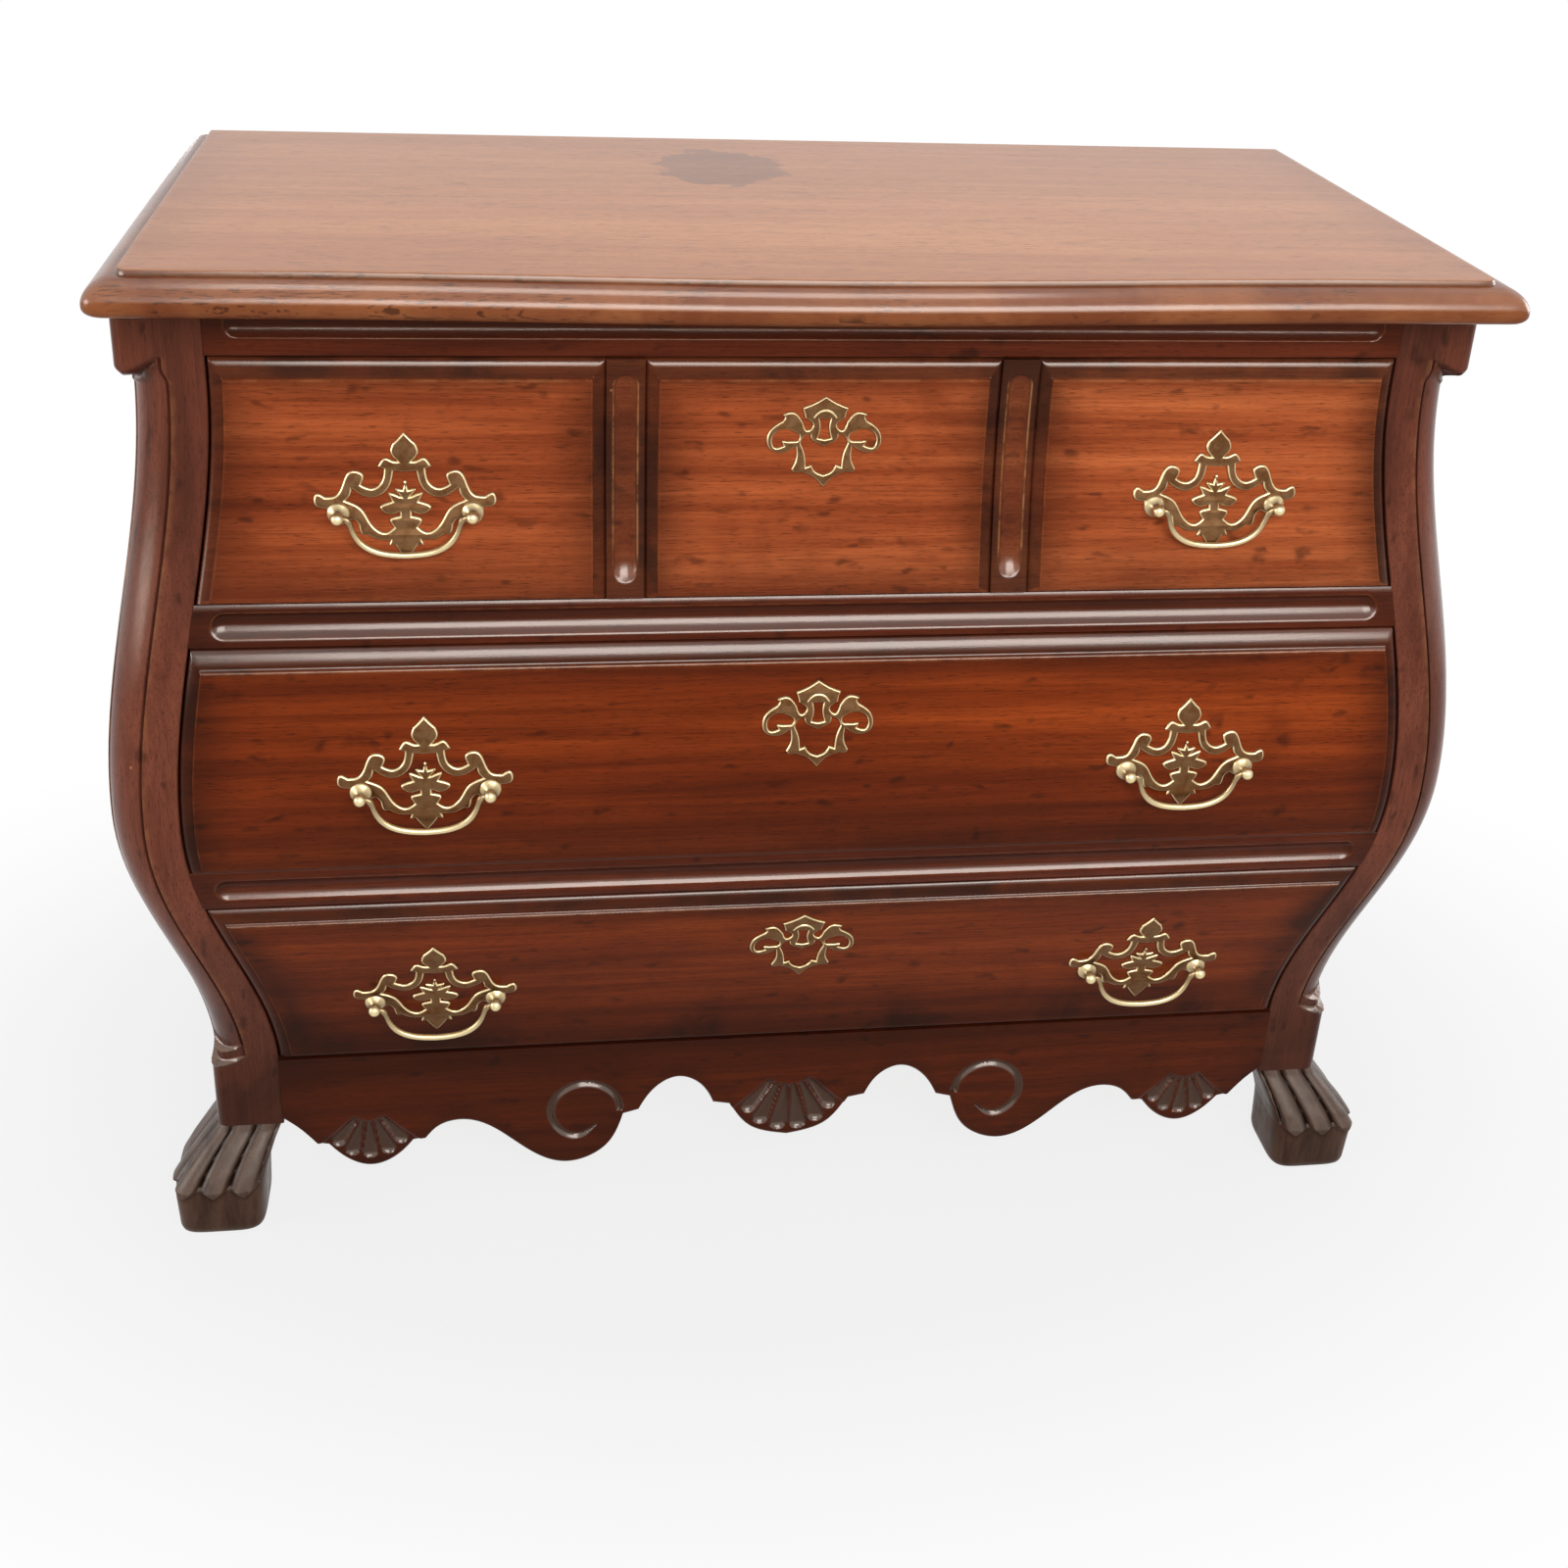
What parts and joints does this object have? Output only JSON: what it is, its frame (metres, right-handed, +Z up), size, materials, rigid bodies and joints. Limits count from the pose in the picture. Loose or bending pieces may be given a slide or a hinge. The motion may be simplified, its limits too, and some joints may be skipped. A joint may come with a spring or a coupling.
{
  "type": "bombe chest",
  "caption": "Swelled bombe chest of drawers with long sliding drawers, pierced brass bail pulls, fluted rails, a carved shaped apron and paw feet.",
  "frame": {"origin": "on the floor, under the middle of the whole chest", "axes": "+X to the viewer's right along the drawers, +Y from the front to the back, +Z up"},
  "size_m": [1.1328, 0.508, 0.883],
  "materials": {
    "mahogany": "glazed satin lacquer",
    "dark_carving": "dark glaze, satin",
    "pale_wood": "bare sanded wood",
    "plywood": "bare plywood",
    "brass": "antique, dark in the recesses"
  },
  "bodies": {
    "case": {"apron": "mahogany", "back_panel": "plywood", "bottom_drawer_stops": "pale_wood", "bottom_dust_board": "plywood", "bottom_rail": "pale_wood", "bottom_runners": "pale_wood", "left_front_foot": "dark_carving", "left_front_post": "mahogany", "left_rear_foot": "dark_carving", "left_rear_post": "mahogany", "left_side_panel": "mahogany", "lower_rail": "mahogany", "middle_drawer_stops": "pale_wood", "middle_dust_board": "plywood", "middle_runners": "pale_wood", "right_front_foot": "dark_carving", "right_front_post": "mahogany", "right_rear_foot": "dark_carving", "right_rear_post": "mahogany", "right_side_panel": "mahogany", "top_board": "mahogany", "top_drawer_stops": "pale_wood", "top_dust_board": "plywood", "top_kickers": "pale_wood", "top_rail": "mahogany", "top_runners": "pale_wood", "upper_rail": "mahogany"},
    "top_drawer": {"top_drawer_back": "pale_wood", "top_drawer_bottom": "plywood", "top_drawer_front": "mahogany", "top_drawer_left_side": "pale_wood", "top_drawer_right_side": "pale_wood", "top_escutcheon": "brass", "top_pull_plates": "brass", "top_pull_posts": "brass"},
    "middle_drawer": {"middle_drawer_back": "pale_wood", "middle_drawer_bottom": "plywood", "middle_drawer_front": "mahogany", "middle_drawer_left_side": "pale_wood", "middle_drawer_right_side": "pale_wood", "middle_escutcheon": "brass", "middle_pull_plates": "brass", "middle_pull_posts": "brass"},
    "bottom_drawer": {"bottom_drawer_back": "pale_wood", "bottom_drawer_bottom": "plywood", "bottom_drawer_front": "mahogany", "bottom_drawer_left_side": "pale_wood", "bottom_drawer_right_side": "pale_wood", "bottom_escutcheon": "brass", "bottom_pull_plates": "brass", "bottom_pull_posts": "brass"},
    "bottom_left_bail": {"bottom_left_bail": "brass"},
    "bottom_right_bail": {"bottom_right_bail": "brass"},
    "middle_left_bail": {"middle_left_bail": "brass"},
    "middle_right_bail": {"middle_right_bail": "brass"},
    "top_left_bail": {"top_left_bail": "brass"},
    "top_right_bail": {"top_right_bail": "brass"}
  },
  "joints": [
    {"name": "top_drawer_slide", "type": "slide", "parent": "case", "child": "top_drawer", "axis": [0, -1, 0], "range_m": [0, 0.28]},
    {"name": "top_left_bail_swing", "type": "hinge", "parent": "top_drawer", "child": "top_left_bail", "pos_m": [-0.325, -0.20104, 0.684], "axis": [-1, 0, 0], "range_deg": [0, 90]},
    {"name": "top_right_bail_swing", "type": "hinge", "parent": "top_drawer", "child": "top_right_bail", "pos_m": [0.325, -0.20104, 0.684], "axis": [-1, 0, 0], "range_deg": [0, 90]},
    {"name": "middle_drawer_slide", "type": "slide", "parent": "case", "child": "middle_drawer", "axis": [0, -1, 0], "range_m": [0, 0.3]},
    {"name": "middle_left_bail_swing", "type": "hinge", "parent": "middle_drawer", "child": "middle_left_bail", "pos_m": [-0.315, -0.24623, 0.462], "axis": [-1, 0, 0], "range_deg": [0, 90]},
    {"name": "middle_right_bail_swing", "type": "hinge", "parent": "middle_drawer", "child": "middle_right_bail", "pos_m": [0.315, -0.24623, 0.462], "axis": [-1, 0, 0], "range_deg": [0, 90]},
    {"name": "bottom_drawer_slide", "type": "slide", "parent": "case", "child": "bottom_drawer", "axis": [0, -1, 0], "range_m": [0, 0.29]},
    {"name": "bottom_left_bail_swing", "type": "hinge", "parent": "bottom_drawer", "child": "bottom_left_bail", "pos_m": [-0.315, -0.21797, 0.236], "axis": [-1, 0, 0], "range_deg": [0, 90]},
    {"name": "bottom_right_bail_swing", "type": "hinge", "parent": "bottom_drawer", "child": "bottom_right_bail", "pos_m": [0.315, -0.21797, 0.236], "axis": [-1, 0, 0], "range_deg": [0, 90]}
  ]
}
